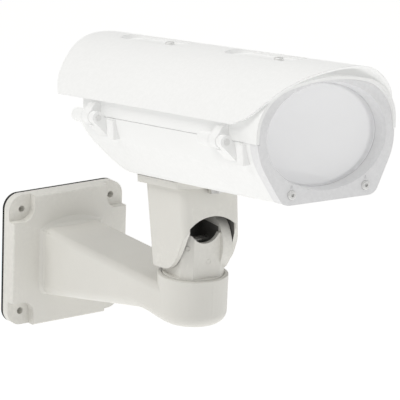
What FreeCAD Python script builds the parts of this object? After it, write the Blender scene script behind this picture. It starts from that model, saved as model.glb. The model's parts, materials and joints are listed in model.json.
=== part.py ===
import FreeCAD, Part
import math
import os
import Sketcher
from FreeCAD import Placement, Rotation, Vector

# Outdoor camera housing with sunshield on a wall bracket with a manual swivel and tilt head.
# Frame: the wall is the plane X = 0, +X points away from it, +Z is up, and the origin is the
# centre of the wall plate's footprint. The head is built in its own frames and placed by them:
#   swivel frame  origin on the tilt axis, turned by the pan angle
#   head frame    the swivel frame, tipped by the tilt angle; x forward, y left, z up
#   housing frame the head frame, moved so that z = 0 is the joint between shell and cover

os.makedirs("parts", exist_ok=True)
doc = FreeCAD.newDocument("camera_housing")

SIZES = {
    # wall bracket
    "plate_side": 140.0, "plate_corner": 16.0, "plate_front": 22.25, "pocket_floor": 12.75,
    "pocket_half_width": 44.5, "pocket_half_height": 43.5, "pocket_corner": 13.0,
    "bolt_spacing": 110.0, "bolt_hole": 7.0, "gasket_thick": 3.5, "cable_hole": 52.0,
    "reach": 240.0, "arm_width": 69.2, "arm_root_top": 34.0, "arm_root_bottom": -39.7,
    "arm_end_top": 30.0, "arm_end_bottom": 4.5, "arm_top_round": 7.0, "arm_low_round": 12.0,
    "collar_width": 82.0, "collar_top": 46.5, "collar_depth": 11.0, "wall": 4.0,
    "ring_radius": 35.0, "ring_top": 41.3, "ring_bottom": -8.0, "ring_round": 12.0,
    "ring_seat_radius": 30.9, "ring_seat_depth": 7.0, "ring_bore": 20.3, "ring_web": 7.0,
    "plug_radius": 21.8,
    # swivel
    "pan_angle": -4.7, "disc_radius": 30.3, "disc_top": 42.3, "stem_radius": 20.0,
    "stem_bore": 15.0, "stem_bottom": 12.0, "liner_thick": 0.8, "nut_radius": 26.0,
    "nut_thick": 9.0, "washer_thick": 1.6, "ear_radius": 31.0, "ear_outer": 24.9,
    "ear_thick": 5.9, "knuckle_half": 26.0, "knuckle_facet": 15.5, "knuckle_dip": 5.0,
    "knuckle_dip_radius": 16.8, "left_ear_thick": 10.4, "root_round": 12.0,
    # tilt head
    "pivot_height": 73.0, "tilt_angle": 8.4, "pivot_dia": 10.0, "pivot_gap": 0.08,
    "cheek_inner": 25.7, "yoke_back": 36.5, "yoke_front": 38.0, "yoke_half_top": 32.8,
    "yoke_half_low": 30.7, "yoke_low": -24.0, "yoke_top": 60.0, "yoke_corner": 8.0,
    "yoke_wall": 4.8, "arch_top": 29.0, "arch_radius": 38.8, "back_arch_top": -6.0,
    "flange_thick": 7.0, "flange_half": 40.0, "flange_bolt": 8.0, "flange_bolt_head": 13.0,
    "flange_bolt_front": 44.8, "flange_bolt_back": -43.2,
    # housing, in its own frame
    "seat_forward": 18.8, "seat_up": 127.5, "shell_half": 74.0, "shell_floor": -58.5,
    "shell_corner": 12.0, "shell_wall": 3.2, "shell_back": -106.0, "shell_front": 215.0,
    "bezel_front": 228.4, "cover_top": 54.0, "cover_shoulder": 43.0, "cover_crown": 168.0,
    "cover_wall": 3.0, "rim_half": 75.4, "rim_top": 55.6, "rim_lean": 8.0, "bezel_gap": 0.5,
    "window_half_width": 62.0, "window_half_height": 47.5, "window_centre": 1.0,
    "bevel_wider": 3.0, "bevel_higher": 2.0, "glass_thick": 4.0, "glass_lip": 2.5,
    "bezel_screw_side": 40.1, "bezel_screw_height": -49.1,
    # sunshield
    "sun_radius": 92.0, "sun_centre": -24.0, "sun_thick": 2.6, "sun_edge": 17.0,
    "sun_screw_back": -49.0, "sun_screw_front": 151.0, "dimple_length": 122.0,
    "dimple_width": 28.0, "dimple_floor": 64.0,
    # cover hinge and closure
    "hinge_side": -82.0, "hinge_radius": 6.8, "hinge_pin": 6.0, "hinge_end_back": -52.0,
    "hinge_end_front": 188.0, "lug_side": 82.0, "lug_back": -40.0, "lug_front": 165.0,
    # inside
    "tray_top": -50.0, "tray_thick": 2.0, "camera_half": 29.0, "camera_back": -40.0,
    "camera_length": 85.0, "camera_height": 55.0, "camera_low": -44.0, "lens_radius": 20.0,
    "lens_front": 86.0,
}

sheet = doc.addObject("Spreadsheet::Sheet", "Sizes")
for row, (alias, value) in enumerate(SIZES.items(), start=1):
    sheet.set("A%d" % row, alias)
    sheet.set("B%d" % row, str(value))
    sheet.setAlias("B%d" % row, alias)
doc.recompute()

NODES = []


def size(alias):
    return float(sheet.get(alias))


# ---------------------------------------------------------------- frames

def bracket_frame():
    return Placement()


def swivel_frame():
    turn = Rotation(Vector(0, 0, 1), size("pan_angle"))
    return Placement(Vector(size("reach"), 0, size("pivot_height")), turn)


def head_frame():
    return swivel_frame() * Placement(Vector(), Rotation(Vector(0, -1, 0), size("tilt_angle")))


def housing_frame():
    return head_frame() * Placement(Vector(size("seat_forward"), 0, size("seat_up")), Rotation())


# ---------------------------------------------------------------- small makers

def publish(obj, label, frame):
    obj.Label = label
    obj.Placement = frame * obj.Placement
    NODES.append(obj)
    return obj


def feature(label, shape, frame):
    obj = doc.addObject("Part::Feature", label)
    obj.Shape = shape
    return publish(obj, label, frame)


def group(label, shapes, frame):
    return feature(label, Part.makeCompound(shapes), frame)


def origin_plane(body, role):
    return [item for item in body.Origin.OriginFeatures if item.Role == role][0]


def sketch_on(body, name, role="XY_Plane"):
    sketch = body.newObject("Sketcher::SketchObject", name)
    sketch.AttachmentSupport = [(origin_plane(body, role), "")]
    sketch.MapMode = "FlatFace"
    return sketch


def sketch_circle(sketch, expression, centre=Vector()):
    edge = sketch.addGeometry(Part.Circle(centre, Vector(0, 0, 1), 1.0), False)
    if centre.Length == 0:
        sketch.addConstraint(Sketcher.Constraint("Coincident", edge, 3, -1, 1))
    index = sketch.addConstraint(Sketcher.Constraint("Radius", edge, 1.0))
    sketch.setExpression("Constraints[%d]" % index, expression)


def ring_body(label, outer, inner, thickness, frame):
    """A washer, sleeve or nut: two circles padded along Z, every size an expression."""
    body = doc.addObject("PartDesign::Body", label)
    sketch = sketch_on(body, label + "_sketch")
    sketch_circle(sketch, outer)
    if inner:
        sketch_circle(sketch, inner)
    pad = body.newObject("PartDesign::Pad", label + "_pad")
    pad.Profile = sketch
    pad.setExpression("Length", thickness)
    body.Tip = pad
    doc.recompute()
    return publish(body, label, frame)


def panel_body(label, length, width, thickness, frame, holes=()):
    """A flat panel centred on its frame, with round holes given as (x, y, radius)."""
    body = doc.addObject("PartDesign::Body", label)
    sketch = sketch_on(body, label + "_sketch")
    corners = [Vector(sx, sy, 0) for sx, sy in ((-9, -9), (9, -9), (9, 9), (-9, 9))]
    for start, end in zip(corners, corners[1:] + corners[:1]):
        sketch.addGeometry(Part.LineSegment(start, end), False)
    for edge in range(4):
        sketch.addConstraint(Sketcher.Constraint("Coincident", edge, 2, (edge + 1) % 4, 1))
    for edge, kind in enumerate(("Horizontal", "Vertical", "Horizontal", "Vertical")):
        sketch.addConstraint(Sketcher.Constraint(kind, edge))
    sketch.addConstraint(Sketcher.Constraint("Symmetric", 0, 1, 1, 2, -1, 1))
    across = sketch.addConstraint(Sketcher.Constraint("DistanceX", 0, 1, 0, 2, 18.0))
    along = sketch.addConstraint(Sketcher.Constraint("DistanceY", 1, 1, 1, 2, 18.0))
    sketch.setExpression("Constraints[%d]" % across, length)
    sketch.setExpression("Constraints[%d]" % along, width)
    for place_x, place_y, radius in holes:
        edge = sketch.addGeometry(Part.Circle(Vector(place_x, place_y, 0), Vector(0, 0, 1), radius))
        sketch.addConstraint(Sketcher.Constraint("Radius", edge, radius))
    pad = body.newObject("PartDesign::Pad", label + "_pad")
    pad.Profile = sketch
    pad.setExpression("Length", thickness)
    body.Tip = pad
    doc.recompute()
    return publish(body, label, frame)


def box(low, high):
    corner = Vector(*low)
    span = Vector(*high) - corner
    return Part.makeBox(span.x, span.y, span.z, corner)


def cylinder(radius, start, end):
    start, end = Vector(*start), Vector(*end)
    return Part.makeCylinder(radius, (end - start).Length, start, end - start)


def extrude(points, direction):
    """A prism from corner points (the list is closed here)."""
    corners = [Vector(*point) for point in points]
    wire = Part.makePolygon(corners + corners[:1])
    return Part.Face(wire).extrude(Vector(*direction))


def edges_where(shape, test):
    return [edge for edge in shape.Edges if test(edge)]


def runs_along(edge, axis):
    first, last = edge.Vertexes[0].Point, edge.Vertexes[-1].Point
    across = (last - first).cross(axis)
    return (last - first).Length > 1e-3 and across.Length < 1e-3 * (last - first).Length


def rounded_block(low, high, radius, axis=Vector(1, 0, 0)):
    """A box whose four edges along axis are rounded."""
    block = box(low, high)
    return block.makeFillet(radius, edges_where(block, lambda edge: runs_along(edge, axis)))


def rounded_rectangle(x_low, x_high, half_width, corner, height):
    wire = rounded_block((x_low, -half_width, height), (x_high, half_width, height + 1), corner,
                         Vector(0, 0, 1))
    base = [face for face in wire.Faces if face.BoundBox.ZMax < height + 1e-4][0]
    return base.OuterWire


# ---------------------------------------------------------------- wall bracket

def bolt_places():
    half = size("bolt_spacing") / 2
    return [(side * half, level * half) for side in (-1, 1) for level in (-1, 1)]


def wall_gasket():
    side = size("plate_side") / 2
    thick = size("gasket_thick")
    sheet_of_rubber = rounded_block((0, -side, -side), (thick, side, side), size("plate_corner"))
    for across, level in bolt_places():
        hole = cylinder(size("bolt_hole") / 2, (-1, across, level), (thick + 1, across, level))
        sheet_of_rubber = sheet_of_rubber.cut(hole)
    opening = cylinder(size("cable_hole") / 2, (-1, 0, 0), (thick + 1, 0, 0))
    return feature("wall_gasket", sheet_of_rubber.cut(opening), bracket_frame())


def plate_blank():
    side = size("plate_side") / 2
    back, front = size("gasket_thick"), size("plate_front")
    plate = rounded_block((back, -side, -side), (front, side, side), size("plate_corner"))
    face_edges = edges_where(plate, lambda edge: edge.BoundBox.XMin > front - 1e-3)
    plate = plate.makeFillet(2.0, face_edges)
    floor = size("pocket_floor")
    inner_y, inner_z = size("pocket_half_width"), size("pocket_half_height")
    for across in (-1, 1):
        for level in (-1, 1):
            low = (floor, min(across * inner_y, across * 90), min(level * inner_z, level * 90))
            high = (front + 1, max(across * inner_y, across * 90), max(level * inner_z, level * 90))
            pocket = box(low, high)
            corner = edges_where(pocket, lambda edge: runs_along(edge, Vector(1, 0, 0))
                                 and abs(abs(edge.CenterOfMass.y) - inner_y) < 1e-3
                                 and abs(abs(edge.CenterOfMass.z) - inner_z) < 1e-3)
            plate = plate.cut(pocket.makeFillet(size("pocket_corner"), corner))
    return plate


def arm_profile(inset, start, end):
    """Side view of the arm between two stations; top and bottom edges are straight."""
    reach = size("reach")

    def level(root, tip, station):
        return root + (tip - root) * (station - size("plate_front")) / (reach - size("plate_front"))

    corners = []
    for station in (start, end):
        top = level(size("arm_root_top"), size("arm_end_top"), station) - inset
        low = level(size("arm_root_bottom"), size("arm_end_bottom"), station) + inset
        corners.append((station, top, low))
    (x_one, top_one, low_one), (x_two, top_two, low_two) = corners
    return [(x_one, top_one), (x_two, top_two), (x_two, low_two), (x_one, low_one)]


def arm_solid(inset, start, end, top_round, low_round):
    half = size("arm_width") / 2 - inset
    points = [(x, -half, z) for x, z in arm_profile(inset, start, end)]
    arm = extrude(points, (0, 2 * half, 0))
    mid = (start + end) / 2
    middle_z = 0.5 * (size("arm_end_top") + size("arm_end_bottom"))
    long_edges = edges_where(arm, lambda edge: edge.BoundBox.XLength > 0.9 * (end - start)
                             and abs(edge.CenterOfMass.x - mid) < 1)
    upper = [edge for edge in long_edges if edge.CenterOfMass.z > middle_z]
    arm = arm.makeFillet(top_round, upper)
    lower = edges_where(arm, lambda edge: edge.BoundBox.XLength > 0.9 * (end - start)
                        and edge.BoundBox.YLength < 1e-3 and edge.CenterOfMass.z < 0
                        and abs(abs(edge.CenterOfMass.y) - half) < 1e-3)
    return arm.makeFillet(low_round, lower)


def outline_at(station, half, low, shoulder, crown):
    """A section of the arm's root: arched on top, with rounded lower corners."""
    cut = size("root_round")
    near = 0.293 * cut

    def at(y, z):
        return Vector(station, y, z)

    arch = Part.Arc(at(half, shoulder), at(0, crown), at(-half, shoulder)).toShape()
    right = Part.Arc(at(-half, low + cut), at(-half + near, low + near), at(-half + cut, low))
    left = Part.Arc(at(half - cut, low), at(half - near, low + near), at(half, low + cut))
    return Part.Wire([
        Part.makeLine(at(-half + cut, low), at(half - cut, low)), left.toShape(),
        Part.makeLine(at(half, low + cut), at(half, shoulder)), arch,
        Part.makeLine(at(-half, shoulder), at(-half, low + cut)), right.toShape()])


def arm_collar():
    """The flare that spreads the arm's root over the plate, arched on top."""
    half = size("arm_width") / 2
    near = size("plate_front") - 1
    far = size("plate_front") + size("collar_depth")
    stations = []
    for step in range(5):
        part = step / 4
        ease = 1 - math.sqrt(1 - (1 - part) ** 2)
        spread = size("collar_width") / 2 - half
        stations.append(outline_at(
            near + (far - near) * part,
            half - 0.8 + spread * ease,
            size("arm_root_bottom") + 4 - 4 * ease,
            size("arm_root_top") - 3 + 3 * ease,
            size("arm_root_top") - 1 + (size("collar_top") - size("arm_root_top")) * ease))
    return Part.makeLoft(stations, True, True)


def ring_root():
    """Fills the corner under the arm's tip, so that its underside sweeps into the ring."""
    half = size("arm_width") / 2
    under = [Vector(x, -half, z) for x, z in
             ((178, -8.1), (194, -5.6), (210, -5.9), (225, -7.5), (size("reach"), size("ring_bottom")))]
    curve = Part.BSplineCurve()
    curve.interpolate(under)
    top = [Vector(size("reach"), -half, 15), Vector(178, -half, 15)]
    wire = Part.Wire([curve.toShape(), Part.makeLine(under[-1], top[0]),
                      Part.makeLine(top[0], top[1]), Part.makeLine(top[1], under[0])])
    fill = Part.Face(wire).extrude(Vector(0, 2 * half, 0))
    low = edges_where(fill, lambda edge: edge.BoundBox.YLength < 1e-3
                      and edge.BoundBox.ZMax < -5 and edge.BoundBox.XLength > 50)
    return fill.makeFillet(size("ring_round"), low)


def pan_ring_blank():
    centre = Vector(size("reach"), 0, size("ring_bottom"))
    height = size("ring_top") - size("ring_bottom")
    ring = Part.makeCone(size("arm_width") / 2, size("ring_radius"), height, centre)
    low = edges_where(ring, lambda edge: edge.BoundBox.ZMax < size("ring_bottom") + 1e-3)
    ring = ring.makeFillet(size("ring_round"), low)
    rim = edges_where(ring, lambda edge: edge.BoundBox.ZMin > size("ring_top") - 1e-3)
    return ring.makeFillet(0.8, rim)


def ring_levels():
    seat = size("ring_top") - size("ring_seat_depth")
    return seat, seat - size("ring_web")


def pan_ring_hollow():
    reach, top = size("reach"), size("ring_top")
    seat, web = ring_levels()
    floor = size("ring_bottom") + size("wall")
    hollow = cylinder(size("ring_seat_radius"), (reach, 0, seat), (reach, 0, top + 1))
    hollow = hollow.fuse(cylinder(size("ring_bore"), (reach, 0, web - 1), (reach, 0, seat + 1)))
    hollow = hollow.fuse(cylinder(27.5, (reach, 0, floor), (reach, 0, web)))
    return hollow.fuse(cylinder(22.0, (reach, 0, floor - 9), (reach, 0, floor + 1)))


def lock_screw_line():
    """The pan lock screw comes in from the side of the ring that faces left and forward."""
    turn = math.radians(52)
    outward = Vector(math.cos(turn), math.sin(turn), 0)
    centre = Vector(size("reach"), 0, ring_levels()[0] + 3.2)
    return centre, outward


def bracket_casting():
    casting = plate_blank().fuse(arm_collar())
    casting = casting.fuse(arm_solid(0, size("plate_front") - 2, size("reach"),
                                     size("arm_top_round"), size("arm_low_round")))
    casting = casting.fuse(ring_root()).fuse(pan_ring_blank())
    casting = casting.cut(pan_ring_hollow())
    channel = arm_solid(size("wall") + 1, size("plate_front") - 8, size("reach") - 20, 4.0, 6.0)
    channel = channel.common(box((0, -40, -60), (300, 40, ring_levels()[1])))
    recess = rounded_block((0, -38, -38), (size("plate_front") - 5, 38, 38), 10.0)
    casting = casting.cut(channel.fuse(recess))
    for across, level in bolt_places():
        hole = cylinder(size("bolt_hole") / 2, (0, across, level), (40, across, level))
        casting = casting.cut(hole)
    centre, outward = lock_screw_line()
    tapped = Part.makeCylinder(2.5, 12, centre + outward * (size("disc_radius") + 0.2), outward)
    casting = casting.cut(tapped)
    return feature("bracket_casting", casting.removeSplitter(), bracket_frame())


def pan_lock_screw():
    centre, outward = lock_screw_line()
    start = centre + outward * (size("disc_radius") + 0.4)
    screw = Part.makeCylinder(2.5, 3.6, start, outward)
    socket = Part.makeCylinder(1.3, 2.0, start + outward * 2.2, outward)
    return feature("pan_lock_screw", screw.cut(socket), bracket_frame())


def bottom_plug():
    reach = size("reach")
    low = size("ring_bottom")
    plug = cylinder(size("plug_radius"), (reach, 0, low + 0.4), (reach, 0, low + size("wall")))
    lip = cylinder(size("plug_radius") + 1.6, (reach, 0, low + size("wall")),
                   (reach, 0, low + size("wall") + 1.4))
    return feature("bottom_plug", plug.fuse(lip), bracket_frame())


# ---------------------------------------------------------------- swivel

def level_in_swivel(height):
    """A height above the wall plate's centre, in the swivel frame."""
    return height - size("pivot_height")


def swivel_at(height):
    return swivel_frame() * Placement(Vector(0, 0, level_in_swivel(height)), Rotation())


def knuckle_outline(low, high):
    half, facet, ear = size("knuckle_half"), size("knuckle_facet"), size("ear_outer")
    flat = math.sqrt(size("disc_radius") ** 2 - ear ** 2)
    corners = [(half, facet), (flat, ear), (-flat, ear), (-half, facet),
               (-half, -facet), (-flat, -ear), (flat, -ear), (half, -facet)]
    return extrude([(x, y, low) for x, y in corners], (0, 0, high - low))


def swivel_knuckle():
    seat = ring_levels()[0]
    disc_low = level_in_swivel(seat + size("liner_thick"))
    disc_top = level_in_swivel(size("disc_top"))
    ear_out, ear_in = size("ear_outer"), size("ear_outer") - size("ear_thick")
    left_in = ear_out - size("left_ear_thick")
    body = knuckle_outline(disc_top - 1, 14)
    right_ear = cylinder(size("ear_radius"), (0, -ear_in, 0), (0, -ear_out, 0))
    left_ear = cylinder(size("ear_radius"), (0, left_in, 0), (0, ear_out, 0))
    body = body.fuse(right_ear.common(knuckle_outline(disc_low, 40))).fuse(left_ear)
    disc = cylinder(size("disc_radius"), (0, 0, disc_low), (0, 0, disc_top))
    rim = edges_where(disc, lambda edge: edge.BoundBox.ZMin > disc_top - 1e-3)
    body = body.fuse(disc.makeFillet(0.8, rim))
    body = body.common(box((-60, -60, disc_low), (60, 60, 60)))
    dip = size("knuckle_dip_radius")
    middle = (left_in - ear_in) / 2
    body = body.cut(cylinder(dip, (-40, middle, size("knuckle_dip") + dip),
                             (40, middle, size("knuckle_dip") + dip)))
    body = body.cut(box((-60, -ear_in, size("knuckle_dip") + dip), (60, left_in, 60)))
    hollow = size("knuckle_half") - 5
    cavity = rounded_block((-hollow, -ear_in, disc_top - 2), (hollow, left_in, 60), 5.0,
                           Vector(0, 0, 1))
    stem = cylinder(size("stem_radius"), (0, 0, level_in_swivel(size("stem_bottom"))),
                    (0, 0, disc_low + 1))
    body = body.fuse(stem).cut(cavity)
    body = body.cut(cylinder(size("stem_bore"), (0, 0, -90), (0, 0, disc_top)))
    pivot = size("pivot_dia") / 2 + size("pivot_gap")
    body = body.cut(cylinder(pivot, (0, -40, 0), (0, 40, 0)))
    return feature("swivel_knuckle", body.removeSplitter(), swivel_frame())


def swivel_fittings():
    seat, web = ring_levels()
    ring_body("swivel_liner", "Sizes.disc_radius - 0.4", "Sizes.ring_bore + 0.3",
              "Sizes.liner_thick - 0.05",
              Placement(Vector(size("reach"), 0, seat), Rotation()))
    washer_low = web - 0.1 - size("washer_thick")
    ring_body("swivel_washer", "Sizes.nut_radius", "Sizes.stem_radius + 0.1",
              "Sizes.washer_thick", swivel_at(washer_low))
    nut = cylinder(size("nut_radius"), (0, 0, 0), (0, 0, size("nut_thick")))
    nut = nut.cut(cylinder(size("stem_radius") + 0.05, (0, 0, -1), (0, 0, size("nut_thick") + 1)))
    for step in range(6):
        notch = box((-2, size("nut_radius") - 2.2, -1), (2, size("nut_radius") + 2, 30))
        notch.rotate(Vector(), Vector(0, 0, 1), 60 * step)
        nut = nut.cut(notch)
    feature("swivel_ring_nut", nut, swivel_at(washer_low - size("nut_thick")))


# ---------------------------------------------------------------- tilt head

def yoke_outside():
    low, high = size("yoke_low") - 1, size("yoke_top")
    sections = [
        rounded_rectangle(-size("yoke_back") + 1.5, size("yoke_front") - 1.0,
                          size("yoke_half_low"), size("yoke_corner"), low),
        rounded_rectangle(-size("yoke_back"), size("yoke_front"),
                          size("yoke_half_top"), size("yoke_corner"), high)]
    return Part.makeLoft(sections, True, True)


def cheek_profile(side, front):
    """One cheek's side view: upright at the back, with its lower front edge swept back."""
    low = size("yoke_low")
    sweep = Part.BSplineCurve()
    sweep.interpolate([Vector(x, 0, z) for x, z in front])
    start, end = Vector(front[0][0], 0, front[0][1]), Vector(front[-1][0], 0, front[-1][1])
    corners = [end, Vector(-50, 0, low), Vector(-50, 0, 70), Vector(50, 0, 70),
               Vector(50, 0, start.z), start]
    sides = [Part.makeLine(one, two) for one, two in zip(corners, corners[1:])]
    face = Part.Face(Part.Wire([sweep.toShape()] + sides))
    return face.extrude(Vector(0, side * 50, 0))


def round_back_corner(solid):
    """Rounds the lower back corner of both cheeks with one big cylinder cut."""
    radius = 13.0
    centre = (-size("yoke_back") + 1.2 + radius, size("yoke_low") + radius)
    corner = box((centre[0] - 2 * radius, -60, centre[1] - 2 * radius), (centre[0], 60, centre[1]))
    keep = cylinder(radius, (centre[0], -61, centre[1]), (centre[0], 61, centre[1]))
    return solid.cut(corner.cut(keep))


def flange_outline(inset, low, high):
    half = size("flange_half") - inset
    slim = 24.0 - inset * 0.4
    front, back = 52.0 - inset, -50.0 + inset
    corners = [(38, half), (-37, half), (back, slim), (back, -slim),
               (-37, -half), (38, -half), (front, -slim), (front, slim)]
    return extrude([(x, y, low) for x, y in corners], (0, 0, high - low))


def cable_way(low, high):
    return rounded_block((-27, -23, low), (29, 23, high), 9.0, Vector(0, 0, 1))


def flange_bolt_places():
    return (size("flange_bolt_front"), size("flange_bolt_back"))


def arch_tool(top, x_low, x_high):
    """Everything under an arch of the given crown height between two stations."""
    radius = size("arch_radius")
    arch = cylinder(radius, (x_low, 0, top - radius), (x_high, 0, top - radius))
    return arch.fuse(box((x_low, -radius, -90), (x_high, radius, top - radius)))


def yoke():
    low = size("yoke_low")
    right_front = [(40, 18.5), (29.9, 4.9), (19.4, -8.9), (4.6, -21.3), (-4, low)]
    left_front = [(40, 18.5), (31.5, 3.5), (25.5, -8.0), (17.5, -18.0), (8, -22.6), (-2, low)]
    sides = cheek_profile(-1, right_front).fuse(cheek_profile(1, left_front))
    body = yoke_outside().common(sides)
    body = round_back_corner(body)
    flange = flange_outline(0, size("yoke_top"), size("yoke_top") + size("flange_thick"))
    upright = edges_where(flange, lambda edge: runs_along(edge, Vector(0, 0, 1)))
    body = body.fuse(flange.makeFillet(5.0, upright))
    inner_back = -size("yoke_back") + size("yoke_wall") - 0.3
    inner_front = size("yoke_front") - size("yoke_wall")
    cavity = box((inner_back, -size("cheek_inner"), -60), (inner_front, size("cheek_inner"), 52))
    body = body.cut(cavity).cut(cable_way(50, 80))
    between = box((20, -size("cheek_inner"), -60), (60, size("cheek_inner"), 60))
    body = body.cut(arch_tool(size("arch_top"), 20, 60).common(between))
    body = body.cut(arch_tool(size("back_arch_top"), -60, -26).common(
        box((-60, -size("cheek_inner"), -60), (-20, size("cheek_inner"), 30))))
    for place in flange_bolt_places():
        body = body.cut(cylinder(size("flange_bolt") / 2 + 0.2, (place, 0, 55), (place, 0, 80)))
        body = body.cut(cylinder(7.8, (place, 0, 52), (place, 0, size("yoke_top"))))
    radius = size("pivot_dia") / 2
    body = body.cut(cylinder(radius + 0.05, (0, -size("yoke_half_low") + 3.2, 0), (0, 60, 0)))
    body = body.cut(cylinder(10.0, (0, 28.4, 0), (0, 60, 0)))
    body = body.cut(cylinder(2.5, (-15, 20, -10), (-15, 60, -10)))
    return feature("yoke", body.removeSplitter(), head_frame())


def hex_prism(across_flats, low, high, axis):
    """A hexagonal bar between two points on an axis ('y' or 'z')."""
    radius = across_flats / math.sqrt(3)
    corners = []
    for step in range(6):
        turn = math.radians(60 * step)
        one, two = radius * math.cos(turn), radius * math.sin(turn)
        corners.append((one, low, two) if axis == "y" else (one, two, low))
    return extrude(corners, (0, high - low, 0) if axis == "y" else (0, 0, high - low))


def tilt_pivot():
    radius = size("pivot_dia") / 2
    start = -size("yoke_half_low") + 3.4
    shank = cylinder(radius, (0, start, 0), (0, 29, 0))
    head = cylinder(8.5, (0, 29, 0), (0, 32.0, 0))
    head = head.cut(hex_prism(8.0, 30.0, 33.0, "y"))
    feature("tilt_bolt", shank.fuse(head), head_frame())
    spring = cylinder(8.2, (0, 28.4, 0), (0, 29, 0))
    spring = spring.cut(cylinder(radius + 0.1, (0, 28, 0), (0, 30, 0)))
    feature("tilt_spring_washer", spring, head_frame())
    discs = []
    for side in (-1, 1):
        low = min(side * (size("ear_outer") + 0.1), side * size("cheek_inner"))
        high = max(side * (size("ear_outer") + 0.1), side * size("cheek_inner"))
        disc = cylinder(11.0, (0, low, 0), (0, high, 0))
        discs.append(disc.cut(cylinder(radius + 0.1, (0, low - 1, 0), (0, high + 1, 0))))
    group("tilt_friction_discs", discs, head_frame())
    lock = cylinder(2.45, (-15, size("cheek_inner") + 0.2, -10), (-15, 30.4, -10))
    lock = lock.cut(cylinder(1.2, (-15, 28.6, -10), (-15, 31, -10)))
    feature("tilt_lock_screw", lock, head_frame())


def flange_fasteners():
    bolts = []
    low = size("yoke_top")
    for place in flange_bolt_places():
        head = hex_prism(size("flange_bolt_head"), low - 6.7, low - 1.2, "z")
        washer = cylinder(7.4, (0, 0, low - 1.2), (0, 0, low))
        shank = cylinder(size("flange_bolt") / 2, (0, 0, low - 1.5), (0, 0, low + 15))
        bolt = head.fuse(washer).fuse(shank)
        bolt.translate(Vector(place, 0, 0))
        bolts.append(bolt)
    group("flange_bolts", bolts, head_frame())


def yoke_gasket():
    low = size("yoke_top") + size("flange_thick")
    high = size("seat_up") + size("shell_floor")
    pad = flange_outline(2.0, low, high).cut(cable_way(low - 1, high + 1))
    for place in flange_bolt_places():
        pad = pad.cut(cylinder(size("flange_bolt") / 2 + 0.3, (place, 0, low - 1),
                               (place, 0, high + 1)))
    return feature("yoke_gasket", pad, head_frame())


# ---------------------------------------------------------------- lower shell

def shell_solid(inset, back, front, lid):
    """The lower shell's filled form: curved sides, sloping to a narrower flat floor."""
    half, floor = size("shell_half") - inset, size("shell_floor") + inset
    bend = [Vector(back, half, 0), Vector(back, half - 2.2, -15.0),
            Vector(back, half - 8.0 + 0.12 * inset, -29.0 + 0.48 * inset)]
    corner = Vector(back, size("shell_half") - 24.2 - 0.59 * inset, floor)
    edges = [Part.Arc(*bend).toShape(), Part.makeLine(bend[2], corner)]
    mirror = [Vector(point.x, -point.y, point.z) for point in bend]
    other = Vector(corner.x, -corner.y, corner.z)
    edges += [Part.makeLine(corner, other), Part.makeLine(other, mirror[2]),
              Part.Arc(mirror[2], mirror[1], mirror[0]).toShape()]
    top = [bend[0], Vector(back, half, lid), Vector(back, -half, lid), mirror[0]]
    if lid > 0:
        edges += [Part.makeLine(mirror[0], top[2]), Part.makeLine(top[2], top[1]),
                  Part.makeLine(top[1], bend[0])]
    else:
        edges.append(Part.makeLine(mirror[0], bend[0]))
    face = Part.Face(Part.Wire(Part.__sortEdges__(edges)))
    solid = face.extrude(Vector(front - back, 0, 0))
    keels = edges_where(solid, lambda edge: runs_along(edge, Vector(1, 0, 0))
                        and abs(edge.CenterOfMass.z - floor) < 1e-3)
    return solid.makeFillet(size("shell_corner") - inset, keels)


def back_slope(inset):
    """A tool that removes everything behind the shell's sloping back, as seen from the side."""
    back = size("shell_back") + inset
    floor = size("shell_floor")
    upper, lower = Vector(back, -100, -6), Vector(-47.0 + 0.9 * inset, -100, floor - 2)
    middle = Vector(-83.0 + inset, -100, -38.0 + 0.3 * inset)
    far = -200
    edges = [Part.makeLine(Vector(back, -100, 90), upper),
             Part.Arc(upper, middle, lower).toShape(),
             Part.makeLine(lower, Vector(lower.x, -100, floor - 30)),
             Part.makeLine(Vector(lower.x, -100, floor - 30), Vector(far, -100, floor - 30)),
             Part.makeLine(Vector(far, -100, floor - 30), Vector(far, -100, 90)),
             Part.makeLine(Vector(far, -100, 90), Vector(back, -100, 90))]
    face = Part.Face(Part.Wire(edges))
    return face.extrude(Vector(0, 200, 0))


def hinge_ends():
    return (size("hinge_end_back"), size("hinge_end_front"))


def shell_hinge(end):
    """The fixed half of one hinge: long barrel, end eye, gusset and the rib beside it."""
    side, radius = size("hinge_side"), size("hinge_radius")
    wall_in = -size("shell_half") + 1.6
    barrel = cylinder(radius, (end - 45, side, 0), (end - 22.6, side, 0))
    barrel = barrel.makeFillet(3.0, edges_where(
        barrel, lambda edge: edge.BoundBox.XMax < end - 44.9))
    eye = cylinder(radius - 0.6, (end - 9, side, 0), (end, side, 0))
    knuckle = barrel.fuse(eye)
    for start, stop in ((end - 43, end - 22.6), (end - 9, end)):
        knuckle = knuckle.fuse(box((start, side, -radius + 0.8), (stop, wall_in, -0.3)))
    slope = [(end - 20, side - 5, -3), (end - 20, wall_in, -3), (end - 20, wall_in, -19)]
    knuckle = knuckle.fuse(extrude(slope, (20, 0, 0)).common(
        box((end - 9, -100, -40), (end, 0, 0)).fuse(box((end - 20, -100, -40), (end, 0, -8.2)))))
    rib = rounded_block((end + 8, -size("shell_half") - 3.6, -20), (end + 20, wall_in + 2, -1.0),
                        1.2, Vector(0, 0, 1))
    return knuckle.fuse(rib)


def lug_places():
    return (size("lug_back"), size("lug_front"))


def closure_lug(place, low, high):
    side = size("lug_side")
    post = cylinder(6.5, (place, side, low), (place, side, high))
    web = box((place - 6.5, size("shell_half") - 1.6, low), (place + 6.5, side, high))
    return post.fuse(web)


def floor_openings():
    """The cable hole over the yoke, as a place along the floor and a radius."""
    return -size("seat_forward") + 1.0, 10.2


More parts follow.
